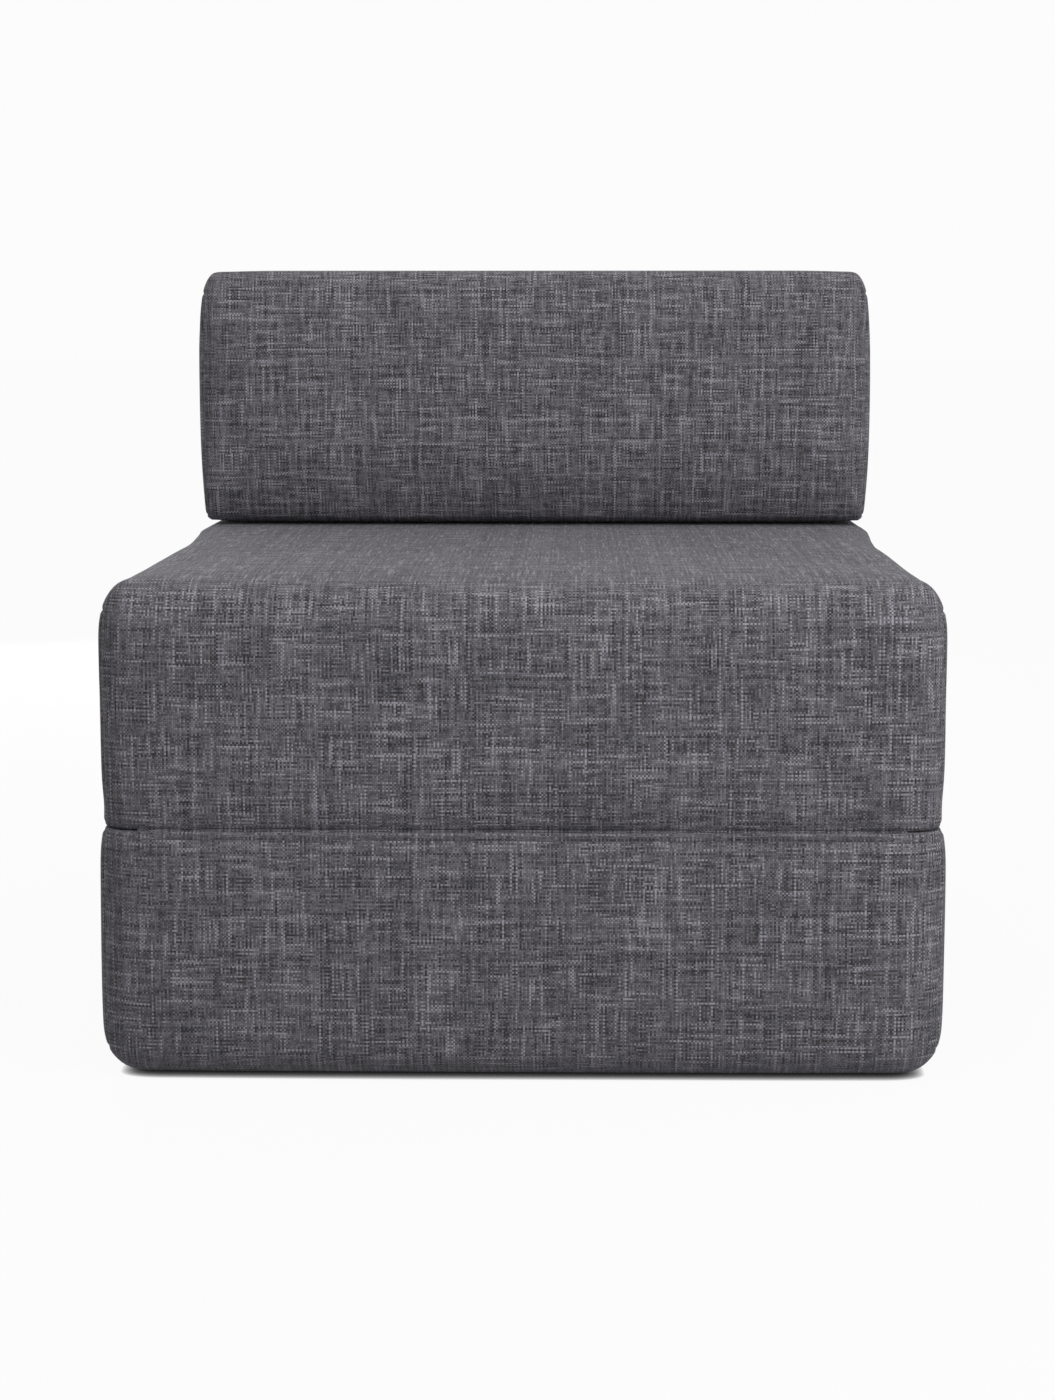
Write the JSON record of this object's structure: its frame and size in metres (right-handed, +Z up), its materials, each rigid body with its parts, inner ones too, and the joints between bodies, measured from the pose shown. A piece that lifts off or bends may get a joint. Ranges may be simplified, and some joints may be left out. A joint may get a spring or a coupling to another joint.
{
  "type": "convertible chair bed",
  "caption": "Armless foam chair bed: two stacked upholstered blocks that unfold forward and a back cushion that swings over to become the pillow.",
  "frame": {"origin": "on the floor, under the middle of the chair in its folded state", "axes": "+X across the chair, to the right of someone who looks at its front; +Y from the front to the rear; +Z up"},
  "size_m": [0.704, 0.9011, 0.6812],
  "materials": {
    "melange_cloth": "charcoal linen-look plain weave with paler slub threads, matt",
    "strap_cloth": "the same charcoal weave, doubled and stitched as a hinge strap",
    "fibre_wadding": "white polyester fibre wadding",
    "foam": "cream open-cell polyurethane foam",
    "grip_cloth": "black non-woven cloth with small grip dots",
    "zip_nylon": "dark grey nylon coil on woven tape",
    "zip_metal": "dark nickel-plated slider and pull"
  },
  "bodies": {
    "base": {"base_cover": "melange_cloth", "base_wadding_sleeve": "fibre_wadding", "base_foam_core": "foam", "base_zip_chain": "zip_nylon", "base_underside_panel": "grip_cloth", "front_fold_strap": "strap_cloth"},
    "seat": {"seat_cover": "melange_cloth", "seat_wadding_sleeve": "fibre_wadding", "seat_foam_core": "foam", "seat_zip_chain": "zip_nylon", "rear_fold_strap": "strap_cloth"},
    "back": {"back_cover": "melange_cloth", "back_wadding_sleeve": "fibre_wadding", "back_foam_core": "foam", "back_zip_chain": "zip_nylon"},
    "base_slider": {"base_zip_slider": "zip_metal"},
    "seat_slider": {"seat_zip_slider": "zip_metal"},
    "back_slider": {"back_zip_slider": "zip_metal"},
    "base_pull": {"base_zip_pull": "zip_metal"},
    "seat_pull": {"seat_zip_pull": "zip_metal"},
    "back_pull": {"back_zip_pull": "zip_metal"}
  },
  "joints": [
    {"name": "seat_fold", "type": "hinge", "parent": "base", "child": "seat", "pos_m": [0, -0.4505, 0.2083], "axis": [1, 0, 0], "range_deg": [0, 180], "deforming": ["front_fold_strap"]},
    {"name": "back_fold", "type": "hinge", "parent": "seat", "child": "back", "pos_m": [0, 0.453, 0.4169], "axis": [-1, 0, 0], "range_deg": [0, 180], "deforming": ["rear_fold_strap"]},
    {"name": "base_zip_travel", "type": "slide", "parent": "base", "child": "base_slider", "axis": [-1, 0, 0], "range_m": [0, 0.574]},
    {"name": "seat_zip_travel", "type": "slide", "parent": "seat", "child": "seat_slider", "axis": [-1, 0, 0], "range_m": [0, 0.574]},
    {"name": "back_zip_travel", "type": "slide", "parent": "back", "child": "back_slider", "axis": [-1, 0, 0], "range_m": [0, 0.572]},
    {"name": "base_pull_swing", "type": "hinge", "parent": "base_slider", "child": "base_pull", "pos_m": [0.287, 0.4497, 0.046], "axis": [0, 0, -1], "range_deg": [0, 180]},
    {"name": "seat_pull_swing", "type": "hinge", "parent": "seat_slider", "child": "seat_pull", "pos_m": [0.287, 0.44895, 0.2546], "axis": [0, 0, -1], "range_deg": [0, 180]},
    {"name": "back_pull_swing", "type": "hinge", "parent": "back_slider", "child": "back_pull", "pos_m": [0.286, 0.44772, 0.4632], "axis": [0, 0, -1], "range_deg": [0, 180]}
  ],
  "couplings": [
    {"joint": "back_fold", "follows": "seat_fold", "ratio": 1}
  ]
}
